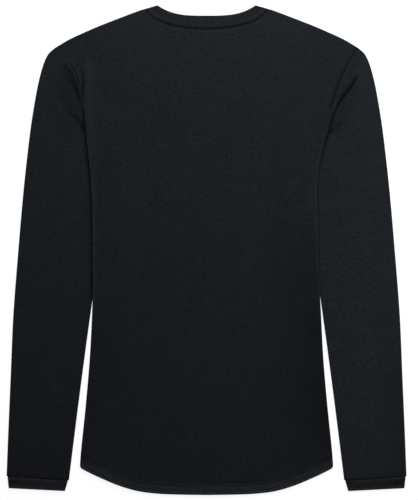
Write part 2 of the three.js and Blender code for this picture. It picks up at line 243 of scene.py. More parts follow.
def through(rows, column=1):
    """A smooth function through a table's rows, from the first column to another. Between two rows
    it is a cubic whose slope at each row is that of the line between the row's two neighbours."""
    table = np.array(rows, float)
    x, y = table[:, 0], table[:, column]
    last = len(x) - 1
    before = np.maximum(np.arange(last + 1) - 1, 0)
    after = np.minimum(np.arange(last + 1) + 1, last)
    slopes = (y[after] - y[before]) / (x[after] - x[before])

    def value(at):
        i = np.clip(np.searchsorted(x, at), 1, last)
        span = x[i] - x[i - 1]
        t = np.clip((at - x[i - 1]) / span, 0, 1)
        bend = t * (1 - t) * span * (slopes[i - 1] * (1 - t) - slopes[i] * t)
        beyond = slopes[i - 1] * np.minimum(at - x[i - 1], 0) + slopes[i] * np.maximum(at - x[i], 0)
        return lerp(y[i - 1], y[i], t * t * (3 - 2 * t)) + bend + beyond

    return value


body_edge = {"left": through(BODY_SECTIONS, 1), "right": through(BODY_SECTIONS, 2)}
hem_y = through(HEM_LINE)
shoulder_y = through(SHOULDER_LINE)
inner_edge_x = through(SLEEVE_INNER_EDGE)
outer_edge_x = through(SLEEVE_OUTER_EDGE)
underarm_x = through(UNDERARM_EDGE)


def nearest(line, points):
    """For each point, its distance from a line of straight steps and the place of its nearest point
    there, counted in steps: the point's shadow on each step, held to that step's ends."""
    best = np.full(points.shape[:-1], np.inf)
    place = np.zeros(points.shape[:-1])
    for i, (a, b) in enumerate(zip(line, line[1:])):
        t = np.clip((points - a) @ (b - a) / ((b - a) @ (b - a)), 0, 1)
        distance = np.linalg.norm(points - a - t[..., None] * (b - a), axis=-1)
        closer = distance < best
        best = np.where(closer, distance, best)
        place = np.where(closer, i + t, place)
    return best, place


def marks(features, points):
    """The sum of all features: the depth or height at the nearest place of each one's line, times
    the bell of the distance from it."""
    total = np.zeros(points.shape[:-1])
    for feature in features:
        table = np.array(feature["line"], float)
        distance, place = nearest(table[:, :2], points)
        strength = np.interp(place, np.arange(len(table)), table[:, 2])
        total += strength * bell(distance, feature["width"])
    return total


def drift(points):
    """Slow unevenness of cloth smoothed by hand, from 0 to 0.4 mm: three crossing sine waves."""
    x, y = points[..., 0], points[..., 1]
    waves = np.sin(x / 31 + y / 57) + np.sin(y / 43 - x / 71 + 1.3) + np.sin(x / 19 - y / 83 + 4.1)
    return 0.4 * (0.5 + waves / 6)


def body_rise(points, ramp):
    """Height of a body panel over a tucked sleeve: a smooth step across its side over the ramp,
    times a smooth step up its length."""
    x, y = points[..., 0], points[..., 1]
    top = np.where(y > ARMPIT_Y, underarm_x(y), inner_edge_x(y)) - TUCK_LEAD
    beside = smoothstep(y, TUCK_END_Y - TUCK_FADE, TUCK_END_Y)
    return TUCK_HEIGHT * beside * smoothstep(np.abs(x), top - ramp, top)


def sheet_points(edges, u, v):
    """Points of a flat sheet between four edges. Each lies on the line from lower to upper edge,
    drawn aside by how far each side edge bows off that line, times a fade across the sheet."""
    t = v[..., None]
    flat = np.zeros_like(v)
    left_bow = edges["left"](v) - lerp(edges["lower"](flat), edges["upper"](flat), t)
    right_bow = edges["right"](v) - lerp(edges["lower"](flat + 1), edges["upper"](flat + 1), t)
    line = lerp(edges["lower"](u), edges["upper"](u), t)
    return line + left_bow * edges["fade"](u)[..., None] + right_bow * edges["fade"](1 - u)[..., None]


def even_fade(distance):
    """Falls evenly from 1 to 0 across the sheet."""
    return 1 - distance


def graded(length, steps):
    """Stops from 0 to length, in steps of a stated size up to each stated distance."""
    stops = []
    start = 0
    for until, size in steps:
        end = min(until, length)
        if end > start:
            count = max(1, math.ceil((end - start) / size))
            stops.append(np.linspace(start, end, count, endpoint=False))
            start = end
    return np.append(np.concatenate(stops), length)


def corner_quads(out, back, is_loop):
    """Corners of the quads of a closed wall between two grids, all facing outwards: both grids, the
    rims at the first and last row and, where it is no loop, at the first and last column."""
    def quads(*corners):
        return np.stack(corners, -1).reshape(-1, 4)

    faces = [
        quads(out[:-1, :-1], out[:-1, 1:], out[1:, 1:], out[1:, :-1]),
        quads(back[:-1, :-1], back[1:, :-1], back[1:, 1:], back[:-1, 1:]),
        quads(out[0, :-1], back[0, :-1], back[0, 1:], out[0, 1:]),
        quads(out[-1, :-1], out[-1, 1:], back[-1, 1:], back[-1, :-1]),
    ]
    if not is_loop:
        faces.append(quads(out[:-1, 0], out[1:, 0], back[1:, 0], back[:-1, 0]))
        faces.append(quads(out[:-1, -1], back[:-1, -1], back[1:, -1], out[1:, -1]))
    return np.concatenate(faces)


def make_mesh(name, vertices, faces, material, corners, painted_shading):
    """An object at the origin from arrays of vertices in metres, of four-cornered faces, of their
    corners' places on a flat map and of the painted light and shade of the cloth at each vertex."""
    mesh = bpy.data.meshes.new(name)
    mesh.vertices.add(len(vertices))
    mesh.vertices.foreach_set("co", vertices.astype(np.float32).ravel())
    mesh.loops.add(faces.size)
    mesh.loops.foreach_set("vertex_index", faces.astype(np.int32).ravel())
    mesh.polygons.add(len(faces))
    mesh.polygons.foreach_set("loop_start", np.arange(0, faces.size, faces.shape[1], dtype=np.int32))
    mesh.polygons.foreach_set("use_smooth", np.ones(len(faces), dtype=bool))
    layer = mesh.uv_layers.new(name="cloth")
    layer.data.foreach_set("uv", corners.astype(np.float32).ravel())
    # The painted light and shade of the cloth at each vertex, read by the knit materials
    attribute = mesh.attributes.new("painted_shading", "FLOAT", "POINT")
    attribute.data.foreach_set("value", painted_shading.astype(np.float32).ravel())
    mesh.materials.append(material)
    mesh.update(calc_edges=True)
    mesh.validate()
    obj = bpy.data.objects.new(name, mesh)
    bpy.context.collection.objects.link(obj)
    return obj


def make_shell(name, outer, inner, uv, is_loop, material, painted_shading):
    """A closed shell from an outer and an inner grid of points. The flat map has one column more
    than the grids where they are a loop, so that it closes without running back."""
    rows, columns = outer.shape[:2]
    index = np.arange(2 * rows * columns).reshape(2, rows, columns)
    if is_loop:
        index = np.concatenate([index, index[:, :, :1]], axis=2)
    uv_index = np.arange(2 * uv.shape[0] * uv.shape[1]).reshape(2, *uv.shape[:2])
    vertices = np.concatenate([outer, inner]).reshape(-1, 3) * MM
    corners = np.concatenate([uv, uv]).reshape(-1, 2)[corner_quads(*uv_index, is_loop)] * MM
    painted_shadings = np.concatenate([painted_shading, painted_shading])
    return make_mesh(name, vertices, corner_quads(*index, is_loop), material, corners, painted_shadings)


def neck_curve(u, drop):
    """The neck seam: half an ellipse, by angle."""
    angle = math.pi * (u - 0.5)
    return xy(NECK_HALF_WIDTH * np.sin(angle), NECK_POINT_Y - drop * np.cos(angle))


def side_line(sign):
    """The body's side edge and armhole as a line of short straight steps."""
    y = np.linspace(HEM_CORNER_Y, SHOULDER_Y, 240)
    return xy(sign * body_edge["left" if sign < 0 else "right"](y), y)


def shoulder_line(sign):
    """The shoulder seam as a line of straight steps."""
    x = np.linspace(NECK_HALF_WIDTH, SHOULDER_X, 24)
    return xy(sign * x, shoulder_y(x))


SIDE_LINES = [side_line(-1), side_line(1)]
SHOULDER_LINES = [shoulder_line(-1), shoulder_line(1)]


def closest(lines, points):
    """Distance of each point from the nearest of several lines."""
    return np.min([nearest(line, points)[0] for line in lines], axis=0)


def is_set_in(points):
    """1 where the sleeve is sewn to the body edge to edge, 0 where it is tucked under the side."""
    return smoothstep(points[..., 1], ARMHOLE_Y + 2, ARMHOLE_Y + 22)


def groove(distance, depth, width):
    """A seam's dip with the cloth swelling a little beside it: one bell less a wider, lower one."""
    return depth * (bell(distance, width) - 0.22 * bell(distance - 2.6 * width, 1.2 * width))


def panel_edges(neck_drop, hem_shortening):
    """The four edges of a body panel: hem and neck-and-shoulder line by their share across, sides by
    their share up. The neck is half an ellipse, the others go through their tables."""
    def side(name, sign):
        def point(v):
            y = HEM_CORNER_Y + SIDE_LENGTH * v
            return xy(sign * (body_edge[name](y) + np.where(y >= ARMHOLE_Y, SEAM_LAP, 0)), y)
        return point

    def hem(u):
        x = HEM_CORNER_X * (2 * u - 1)
        return xy(x, hem_y(np.abs(x)) + hem_shortening * (1 - (x / HEM_CORNER_X) ** 2))

    def top(u):
        x = PANEL_TOP * (2 * u - 1)
        neck = NECK_POINT_Y - neck_drop * np.sqrt(np.maximum(1 - (x / NECK_HALF_WIDTH) ** 2, 0))
        return xy(x, np.where(np.abs(x) < NECK_HALF_WIDTH, neck, shoulder_y(np.abs(x))))

    reach = 0.5 - NECK_HALF_WIDTH / (2 * PANEL_TOP)
    return {
        "lower": hem,
        "upper": top,
        "left": side("left", -1),
        "right": side("right", 1),
        "fade": lambda distance: 1 - smoothstep(distance, 0, reach),
    }


def panel_grid(edges, coarseness):
    """Grid of flat points of a body panel, closer together at its edges, hem and armholes."""
    side, width = PANEL_TOP - NECK_HALF_WIDTH, 2 * PANEL_TOP
    across = graded(side, [(0.24, 0.06), (1, 0.15), (2.5, 0.3), (22, coarseness),
                           (46, 2.6 * coarseness), (side - 4, 5 * coarseness), (side, 0.6)])
    angle = np.linspace(-0.5, 0.5, round(62 / coarseness)) * math.pi
    neck = 0.5 + NECK_HALF_WIDTH * np.sin(angle) / width
    u = np.concatenate([across / width, neck[1:-1], 1 - across[::-1] / width])
    v = graded(SIDE_LENGTH, [(0.24, 0.06), (1, 0.15), (2, 0.3), (11.6, 1.6), (16.4, 0.3), (20, 1),
                             (470, 5.5 * coarseness), (606, 2 * coarseness), (611.5, 0.8),
                             (613.2, 0.28), (SIDE_LENGTH, 0.1)]) / SIDE_LENGTH
    u, v = np.meshgrid(u, v)
    return sheet_points(edges, u, v), v * SIDE_LENGTH


def front_height(points):
    """Upper side of the front panel, which climbs over the tucked sleeves, without its edges."""
    return body_rise(points, FRONT_RAMP) + KNIT


def painted_crease_shading(points):
    """Painted shade deep in a crease: 1 less a share of the crease's depth, times the painted broad
    shades and narrow painted lights beside it."""
    deep = 1 - 0.8 * np.clip(marks(CREASES, points) / 4, 0, 1)
    return deep * (1 - 0.17 * marks(SHADES, points)) * (1 + 0.22 * marks(LIGHTS, points))


def painted_line_shade(distance, width, share):
    """Painted shade along a line such as a seam: 1 less a bell of the distance from it."""
    return 1 - share * bell(distance, width)


def edge_shine(distance, points):
    """How much lighter the body is along its sides where it lies over the sleeves: bells of the
    distance from just inside the edge, times smooth steps up its length, with more on the left,
    whose edge turns away from the light."""
    x, y = points[..., 0], points[..., 1]
    low = 1 - smoothstep(y, 20, 90)
    right = (0.14 + 0.26 * low) * bell(distance - 1.6, 2) + 0.14 * bell(distance - 3, 6)
    left = 0.5 * bell(distance - 0.7, 1.8) + 0.16 * bell(distance - 3, 6)
    left += 0.24 * low * bell(distance - 2.8, 2)
    top = np.where(x > 0, 150, 190)
    beside = smoothstep(y, -120, -60) * (1 - smoothstep(y, top, top + 50))
    return 1 + beside * np.where(x > 0, right, left)


def armhole_depth(points, side):
    """How deep an armhole's seam is drawn in: on the right down to where the crease beside it folds
    over it and less at the top, on the left down to where another does and hardly at the top."""
    y = points[..., 1]
    if side == "right":
        return smoothstep(y, 197, 215) * (1 - 0.25 * smoothstep(y, 262, 276))
    return smoothstep(y, 206, 228) * (1 - 0.85 * smoothstep(y, 262, 280))


def both_armholes(points):
    """The depth of the armhole seam on each point's own side."""
    return np.where(points[..., 0] > 0, armhole_depth(points, "right"), armhole_depth(points, "left"))


def neck_shade_share(x):
    """How dark the painted shade along the neck seam is: a share less a smooth step towards the
    shoulders."""
    return 0.9 - 0.45 * smoothstep(np.abs(x), 46, 84)


def neck_fall(x):
    """How far below the seam its shade falls: a distance plus a smooth step towards the shoulders."""
    return 1 + 0.6 * smoothstep(np.abs(x), 60, 84)


def painted_hem_shading(x, distance):
    """Painted light and shade of the hem: the band is painted lighter than the panel, most at its edge
    and unevenly along it, with a painted highlight on a ridge between two rows of sewing in painted
    shade, and painted shade just above the band and at its corners: steps and bells of the distance
    from the edge, and crossing sine waves along it."""
    band = 1 - smoothstep(distance, HEM_WIDTH - 5, HEM_WIDTH + 2)
    uneven = np.sin(x / 11 + 2 * np.sin(x / 37)) * np.sin(x / 5.3 + distance / 2.2)
    painted_shading = 1 + band * (0.56 + 0.4 * bell(distance - 1.5, 3.4) + 0.17 * uneven)
    painted_shading *= 1 + (0.16 + 0.16 * bell(x - 20, 45)) * bell(distance - 9.2, 1.3)
    painted_shading *= 1 + 0.14 * np.sin(x / 29 + 1) * bell(distance - HEM_WIDTH + 1.5, 1.4)
    painted_shading *= painted_line_shade(distance - HEM_WIDTH - 2.2, 1.4, 0.42 * bell(x - 62, 24))
    painted_shading *= painted_line_shade(distance - HEM_WIDTH - 2, 3.6, 0.28 * smoothstep(np.abs(x), 158, 180))
    for row in STITCH_ROWS:
        painted_shading *= painted_line_shade(distance - row, 0.9, 0.24)
    return painted_shading


def pucker(x, distance):
    """Small waves of the hem band drawn up by its sewing: a sine wave along it whose phase sways,
    times a bell of the distance from the edge."""
    return 0.16 * np.sin(x / 2.1 + 1.5 * np.sin(x / 17) + distance / 3) * bell(distance - 8, 5)


def rolled(points, side):
    """How far a panel's edge has rolled towards its seam: a quarter round along the shoulders, and
    along the sides where the sleeve isn't sewn to them edge to edge."""
    return np.maximum(
        quarter_round(side, EDGE_REACH) * (1 - is_set_in(points)),
        quarter_round(closest(SHOULDER_LINES, points), EDGE_REACH),
    )


def fold_hem(upper, under, distance):
    """Both sides of a panel drawn together at the hem's fold, by a quarter round of the distance."""
    fold = quarter_round(distance, HEM_FOLD)
    middle = (upper + under) / 2
    return lerp(upper, middle + 0.02, fold), lerp(under, middle - 0.02, fold)


def painted_back_shading(points, hem_distance, side, neck):
    """Painted light and shade of the back: those of its hem, creases, armholes, sides and neck seam,
    painted shade towards its sides below by the cube of the distance across and above by its square,
    and a little painted light at the shoulders."""
    x, y = points[..., 0], points[..., 1]
    painted_shading = painted_hem_shading(x, hem_distance) * painted_crease_shading(points)
    painted_shading *= painted_line_shade(side, 1.6, 0.68 * both_armholes(points)) * edge_shine(side, points)
    below_neck = neck - neck_fall(x)
    painted_shading *= painted_line_shade(below_neck, 1.2, neck_shade_share(x)) * (1 + 0.3 * bell(below_neck - 2.7, 1.1))
    across = np.clip(np.abs(x) / 172, 0, 1)
    lower_half = (1 - smoothstep(y, -60, 130)) * smoothstep(y, -345, -235)
    painted_shading *= 1 - np.where(x > 0, 0.42, 0.12) * across ** 3 * lower_half
    upper_half = smoothstep(y, 60, 160) * (1 - smoothstep(y, 290, 345))
    painted_shading *= 1 - (0.04 + np.where(x > 0, 0.06, 0.03) * across ** 2) * upper_half
    return painted_shading * (1 + 0.04 * smoothstep(y, 200, 340))


def make_back(material):
    """The back panel. Its upper side lies a wall, some air and the climb over the sleeves above the
    front, plus swells less creases, less grooves along armholes and neck. It rolls down along sides
    and shoulders to meet the front, and its hem is a raised band, a little puckered by its sewing,
    with a rounded edge."""
    points, hem_distance = panel_grid(panel_edges(BACK_NECK_DROP, 0), 1)
    front = front_height(points)
    upper = body_rise(points, BACK_RAMP) + FLAT_HEIGHT + marks(SWELLS, points) + drift(points)
    upper -= marks(CREASES, points)
    side = closest(SIDE_LINES, points)
    neck = nearest(neck_curve(np.linspace(0, 1, 90), BACK_NECK_DROP), points)[0]
    band = 1 - smoothstep(hem_distance, HEM_WIDTH - 1, HEM_WIDTH + 1)
    upper += HEM_RISE * band + pucker(points[..., 0], hem_distance)
    for row in STITCH_ROWS:
        upper -= STITCH_DEPTH * bell(hem_distance - row, 0.9)
    upper = np.maximum(upper, front + 0.6 + KNIT * 0.5)
    under = np.maximum(upper - KNIT - HEM_RISE * band, front + 0.1)
    dip = groove(side, 0.7, 1.3) * both_armholes(points) + groove(neck, 0.8, 1.3)
    upper -= dip
    under = np.maximum(under - 0.5 * dip, front * (neck > NECK_OPENING) + 0.05)
    roll = rolled(points, side)
    meeting = front - KNIT + SEAM_LEVEL
    upper = lerp(upper, meeting + 0.02, roll)
    under = lerp(under, meeting + 0.01, roll)
    upper, under = fold_hem(upper, under, hem_distance)
    # Painted light and shade of the back
    painted_shading = painted_back_shading(points, hem_distance, side, neck)
    outer, inner = raised(points, upper), raised(points, under)
    return make_shell("cloth_back", outer, inner, points, False, material, painted_shading)


def make_front(material):
    """The front panel, underneath. Its underside is on the surface but for shallow creases beside the
    armholes and grooves at its seams; it rolls up along sides and shoulders to meet the back."""
    points, hem_distance = panel_grid(panel_edges(FRONT_NECK_DROP, FRONT_HEM_RISE), 2)
    mirrored = points * np.array([-1, 1])
    upper = front_height(points) + 0.12 * marks(CREASES, mirrored)
    under = upper - KNIT
    side = closest(SIDE_LINES, points)
    neck = nearest(neck_curve(np.linspace(0, 1, 90), FRONT_NECK_DROP), points)[0]
    band = 1 - smoothstep(hem_distance, HEM_WIDTH - 0.5, HEM_WIDTH + 0.3)
    under += 0.3 * (1 - band) * smoothstep(HEM_WIDTH + 8 - hem_distance, 0, 8)
    under += 0.5 * bell(side, 1.1) * is_set_in(points) + 0.5 * bell(neck, 1.5)
    roll = rolled(points, side)
    meeting = front_height(points) - KNIT + SEAM_LEVEL
    upper = lerp(upper, meeting, roll)
    under = lerp(under, meeting - 0.01, roll)
    upper, under = fold_hem(upper, under, hem_distance)
    outer, inner = raised(points, upper), raised(points, under)
    # Painted light: the front's hem band is painted lighter, as the back's is
    return make_shell("cloth_front", outer, inner, points, False, material, 1 + 0.4 * band)


FOLD_ANGLES = np.radians(np.linspace(90, -90, 11))


def tube_grids(upper_edges, lower_edges, height, wall, upper_stops, lower_stops, v, width, end,
               lift):
    """Outer and inner grid of a tube pressed flat, row by row from the table v. Across a row it runs
    over the upper sheet, round a half-circle fold, back over the lower sheet and round the other
    fold. Heights are the half height plus the radius times the sine of the fold's angle, plus lift,
    which takes points, the share of the upper sheet there and whether the wall's inside is meant.
    end is how far each row has rounded towards the wall's middle."""
    up, down = math.pi / 2, -math.pi / 2
    u = np.concatenate([
        upper_stops, np.ones_like(FOLD_ANGLES), lower_stops[::-1], np.zeros_like(FOLD_ANGLES),
    ])
    angle = np.concatenate([
        np.full_like(upper_stops, up), FOLD_ANGLES, np.full_like(lower_stops, down), FOLD_ANGLES[::-1],
    ])
    u, rows = np.meshgrid(u, v)
    share = (1 + np.sin(angle)) / 2 * np.ones_like(rows)
    grids = []
    for radius, inwards in ((height / 2, -wall / 2 * end), (height / 2 - wall, wall / 2 * end)):
        radius = radius + inwards[:, None]
        inset = (height / 2 - radius * np.cos(angle)) / width(rows)
        across = np.clip(u, inset, 1 - inset)
        lower, upper = (sheet_points(edges, across, rows) for edges in (lower_edges, upper_edges))
        flat = lerp(lower, upper, share[..., None])
        z = height / 2 + radius * np.sin(angle) + lift(flat, share, len(grids) == 1)
        grids.append(raised(flat, z))
    return grids


def tube_map(outer, fans_out=False):
    """Flat map of a tube: the way round each row from the middle of its upper sheet, and up one
    column. Where its ribs fan out, the way round its middle row stands for every row's."""
    closed = np.concatenate([outer, outer[:, :1]], axis=1)
    step = np.linalg.norm(np.diff(closed, axis=1), axis=-1)
    around = np.concatenate([np.zeros((len(outer), 1)), np.cumsum(step, axis=1)], axis=1)
    if fans_out:
        around = around[[len(around) // 2]] * np.ones((len(around), 1))
    middle = outer.shape[1] // 4
    rise = np.linalg.norm(np.diff(outer[:, middle], axis=0), axis=-1)
    up = np.concatenate([[0], np.cumsum(rise)])[:, None] * np.ones_like(around)
    return np.stack([around - around[:, middle:middle + 1], up], -1)


def sleeve_edges(side):
    """The four edges of a sleeve pressed flat: cuff seam, cap, and its inner and outer fold. The cap
    follows the armhole down to where the sleeve is tucked, and then the underarm."""
    sign = -1 if side == "left" else 1
    y = np.concatenate([
        np.linspace(ARMPIT_Y, ARMHOLE_Y, 30, endpoint=False), np.linspace(ARMHOLE_Y, SHOULDER_Y, 50),
    ])
    tucked = body_edge[side](y) - 1.5 * smoothstep(ARMHOLE_Y - y, 0, 6)
    cap = xy(np.where(y < ARMHOLE_Y, np.minimum(underarm_x(y), tucked), body_edge[side](y)), y)
    way = np.concatenate([[0], np.cumsum(np.linalg.norm(np.diff(cap, axis=0), axis=1))])
    cap_share = way / way[-1]
    mirror = np.array([sign, 1])

    def inner(v):
        y = lerp(CUFF_SEAM_INNER_Y, ARMPIT_Y, v)
        return xy(inner_edge_x(y), y) * mirror

    def outer(v):
        y = lerp(CUFF_SEAM_OUTER_Y, SHOULDER_Y, v)
        return xy(outer_edge_x(y), y) * mirror

    def outwards(u):
        return u if sign == 1 else 1 - u

    def cuff_seam(u):
        start, end = inner(np.zeros(())), outer(np.zeros(()))
        return lerp(start, end, outwards(u)[..., None])

    def armhole(u):
        t = outwards(u)
        return xy(sign * np.interp(t, cap_share, cap[:, 0]), np.interp(t, cap_share, cap[:, 1]))

    edges = {
        "lower": cuff_seam,
        "upper": armhole,
        "left": inner if sign == 1 else outer,
        "right": outer if sign == 1 else inner,
        "fade": even_fade,
    }
    return edges, way[-1]


def cuff_distance(points):
    """Distance above the cuff seam, whose height goes evenly from its inner to its outer end."""
    share = (np.abs(points[..., 0]) - CUFF_SEAM_INNER_X) / (CUFF_SEAM_OUTER_X - CUFF_SEAM_INNER_X)
    return points[..., 1] - lerp(CUFF_SEAM_INNER_Y, CUFF_SEAM_OUTER_Y, np.clip(share, 0, 1))


def painted_sleeve_shading(points, upper_side, side):
    """Painted light and shade of a sleeve: on its upper side those of creases and armhole and a
    painted shade by a bell of the distance from the body's edge, and all round a painted light level
    by a smooth step up its length, less painted shade low on the right one's outer side, less painted
    shade by bells of the distance above the cuff."""
    x, y = np.abs(points[..., 0]), points[..., 1]
    clear, reach, shade = SHADE_BESIDE[side]
    shade = shade * smoothstep(y, -84, -62) * (1 - is_set_in(points))
    seam = nearest(SIDE_LINES[0 if side == "left" else 1], points)[0]
    painted_shading = painted_crease_shading(points) * painted_line_shade(seam, 1.6, 0.68 * armhole_depth(points, side))
    painted_shading *= painted_line_shade(np.maximum(x - body_edge[side](y) - clear, 0), reach, shade)
    level = lerp(*SLEEVE_PAINTED_LIGHT[side], smoothstep(y, -330, 150))
    if side == "right":
        level = level * (1 - 0.2 * smoothstep(x, 240, 292) * (1 - smoothstep(y, -250, -60)))
    above_cuff = cuff_distance(points)
    level = level * painted_line_shade(above_cuff, 1.2, 0.52) * painted_line_shade(above_cuff, 7, 0.16)
    return lerp(1, painted_shading, upper_side) * level


def make_sleeve(side, material):
    """A sleeve pressed flat. Near the armhole both its sheets rise to meet the panels, as their climb
    there times a bell of the distance; the upper one has the swells and creases too."""
    sign = -1 if side == "left" else 1
    edges, cap_length = sleeve_edges(side)
    length = ARMPIT_Y - CUFF_SEAM_INNER_Y + 180
    from_cap = graded(length, [(0.24, 0.06), (1, 0.15), (2.5, 0.3), (30, 0.85), (60, 2.2),
                               (length - 8, 5), (length - 3, 1.2), (length - 1, 0.4), (length, 0.15)])
    v = 1 - from_cap[::-1] / length
    upper_stops = np.linspace(0, 1, 76)[1:-1]
    lower_stops = np.linspace(0, 1, 32)[1:-1]
    line = SIDE_LINES[0 if sign < 0 else 1]

    def lift(points, share, inside):
        distance = nearest(line, points)[0]
        y = np.clip(points[..., 1], ARMHOLE_Y, SHOULDER_Y)
        seam = xy(sign * body_edge[side](y), y)
        set_in = is_set_in(points)
        low = body_rise(seam, FRONT_RAMP) * set_in * bell(distance, 9)
        low = low + 0.12 * marks(CREASES, points * np.array([-1, 1]))
        up = body_rise(seam, BACK_RAMP) * set_in * bell(distance, 12)
        up = up + marks(SWELLS, points) + drift(points) - marks(CREASES, points)
        visible = smoothstep(sign * points[..., 0] - body_edge[side](points[..., 1]), -6, 0)
        up = np.where(points[..., 1] < ARMHOLE_Y, np.minimum(up, lerp(1.2, 3, visible)), up)
        up = np.maximum(up, np.maximum(-0.3, low - 0.35))
        seam_dip = groove(distance, 0.7, 1.3) * armhole_depth(points, side) * (0.5 if inside else 1)
        up = up - seam_dip
        low = low + seam_dip * (0 if inside else 0.5)
        return share * up + (1 - share) * low

    cuff_dip = 0.5 * bell(v * length, 1.3)
    outer, inner = tube_grids(
        edges, edges, FLAT_HEIGHT, KNIT, upper_stops, lower_stops, v,
        lambda rows: lerp(CUFF_SEAM_OUTER_X - CUFF_SEAM_INNER_X, cap_length, rows), cuff_dip, lift,
    )
    # Painted light and shade of the sleeve, on its upper sheet in full
    painted_shading = painted_sleeve_shading(outer[..., :2], smoothstep(outer[..., 2], 0.9, 1.9), side)
    return make_shell("cloth_sleeve_" + side, outer, inner, tube_map(outer), True, material, painted_shading)


def make_cuff(side, material):
    """A cuff: a short tube pressed flat, just inside the sleeve's end, with a rounded free edge. Its
    painted light and shade is a level per cuff, bells of the distance from the seam and from the free
    edge, and crossing sine waves."""
    sign = -1 if side == "left" else 1
    seam_inner = np.array([inner_edge_x(CUFF_SEAM_INNER_Y) + CUFF_STEP, CUFF_SEAM_INNER_Y + SEAM_LAP])
    seam_outer = np.array([outer_edge_x(CUFF_SEAM_OUTER_Y) - CUFF_STEP, CUFF_SEAM_OUTER_Y + SEAM_LAP])
    mirror = np.array([sign, 1])

    def line(a, b):
        return lambda t: lerp(a, b, t[..., None]) * mirror

    seam = (seam_inner, seam_outer)[::sign]
    end = (CUFF_END_INNER, CUFF_END_OUTER)[::sign]
    edges = {
        "lower": line(*end),
        "upper": line(*seam),
        "left": line(end[0], seam[0]),
        "right": line(end[1], seam[1]),
        "fade": even_fade,
    }
    stops = graded(CUFF_DEPTH, [(0.24, 0.06), (1, 0.15), (2, 0.3), (13, 1), (15, 0.3),
                                (CUFF_DEPTH, 0.12)])
    across = np.linspace(0, 1, 70)[1:-1]
    rounded = quarter_round(stops, 0.9) * 0.97 + 0.75 * bell(CUFF_DEPTH - stops, 1.3)
    outer, inner = tube_grids(
        edges, edges, RIB_HEIGHT, RIB, across, across[::2], stops / CUFF_DEPTH,
        lambda rows: lerp(CUFF_END_WIDTH, CUFF_SEAM_WIDTH, rows), rounded,
        lambda points, share, inside: np.zeros_like(share),
    )
    above = stops[:, None]
    below = CUFF_DEPTH - above
    x = outer[..., 0]
    away = smoothstep(np.abs(x), 206, 230)
    painted_shading = CUFF_PAINTED_LIGHT[side] * painted_line_shade(below, 0.8, 0.4) * np.ones_like(x)
    painted_shading *= 1 + 0.36 * away * bell(below - 2.6, 1.6) + 0.5 * bell(above - 1.5, 2.4)
    painted_shading *= 1 + 0.1 * np.sin(x / 13 + 1) * np.sin(x / 4.1 + below / 3)
    painted_shading *= painted_line_shade(below - 7, 3.4, 0.1 + 0.36 * smoothstep(np.abs(x), 256, 280))
    return make_shell("cloth_cuff_" + side, outer, inner, tube_map(outer, True), True, material, painted_shading)


def make_neckband(material):
    """The rib neckband: a flat ring whose upper half follows the back neck and its lower half the
    front. Its free edge above is low in the middle and turns up to its tips by a power of the share
    across; below it is half an ellipse."""
    def back_free(u):
        across = (np.sin(math.pi * (u - 0.5)) + (2 * u - 1)) / 2
        y = BAND_MIDDLE_Y + (BAND_TIP_Y - BAND_MIDDLE_Y) * np.abs(across) ** BAND_CURL
        return xy(BAND_HALF_WIDTH * across, y)

    front_drop = BAND_TIP_Y - (NECK_POINT_Y - FRONT_NECK_DROP + BAND_WIDTH)

    def front_free(u):
        angle = math.pi * (u - 0.5)
        return xy(BAND_HALF_WIDTH * np.sin(angle), BAND_TIP_Y - front_drop * np.cos(angle))

    def ring(drop, free):
        def seam(u):
            angle = math.pi * (u - 0.5)
            return xy((NECK_HALF_WIDTH + SEAM_LAP) * np.sin(angle),
                      NECK_POINT_Y - (drop + SEAM_LAP) * np.cos(angle))

        def side(u):
            end = np.full((), float(u))
            return lambda v: lerp(seam(end), free(end), v[..., None])

        return {"lower": seam, "upper": free, "left": side(0), "right": side(1), "fade": even_fade}

    stops = graded(BAND_WIDTH, [(0.3, 0.1), (1, 0.2), (3.6, 0.4), (BAND_WIDTH - 2.4, 1.1),
                                (BAND_WIDTH - 1, 0.3), (BAND_WIDTH - 0.24, 0.15),
                                (BAND_WIDTH, 0.06)])
    upper_stops = np.linspace(0, 1, 130)[1:-1]
    lower_stops = np.linspace(0, 1, 60)[1:-1]
    arc = math.pi * (BACK_NECK_DROP + FRONT_NECK_DROP) / 2
    rounded = quarter_round(BAND_WIDTH - stops, 0.9) * 0.97
    back_seam, front_seam = (
        neck_curve(np.linspace(0, 1, 90), drop) for drop in (BACK_NECK_DROP, FRONT_NECK_DROP)
    )

    def lift(points, share, inside):
        below = nearest(back_seam, points)[0]
        under = nearest(front_seam, points)[0]
        above = (-0.5 if inside else -1) * bell(below, 1.3) + 0.3 * bell(below - 5.6, 1.3)
        beneath = (0 if inside else 0.5) * bell(under, 1.5)
        return lerp(beneath, above, share)

    outer, inner = tube_grids(
        ring(BACK_NECK_DROP, back_free), ring(FRONT_NECK_DROP, front_free), RIB_HEIGHT, RIB,
        upper_stops, lower_stops, stops / BAND_WIDTH, lambda rows: arc * np.ones_like(rows),
        rounded, lift,
    )
    below = stops[:, None]
    x = outer[..., 0]
    # Painted shade along the neck seam, a painted light line on the band above it, a darker line along
    # its middle, and painted shade towards its ends
    near_seam = below + neck_fall(x)
    painted_shading = painted_line_shade(near_seam, 1.2, neck_shade_share(x)) * painted_line_shade(near_seam - 2.6, 1.8, 0.24)
    painted_shading *= 1 + (0.06 + 0.28 * smoothstep(np.abs(x), 45, 76)) * bell(near_seam - 6.2, 1.7)
    painted_shading *= painted_line_shade(below - 7.6, 0.9, 0.2)
    painted_shading *= 1 - 0.16 * smoothstep(np.abs(x), 52, 74) * smoothstep(below, 6, 10)
    return make_shell("cloth_neckband", outer, inner, tube_map(outer, True), True, material, painted_shading)


def unit(vectors):
    """Vectors drawn out or in to a length of 1."""
    return vectors / np.linalg.norm(vectors, axis=1, keepdims=True)


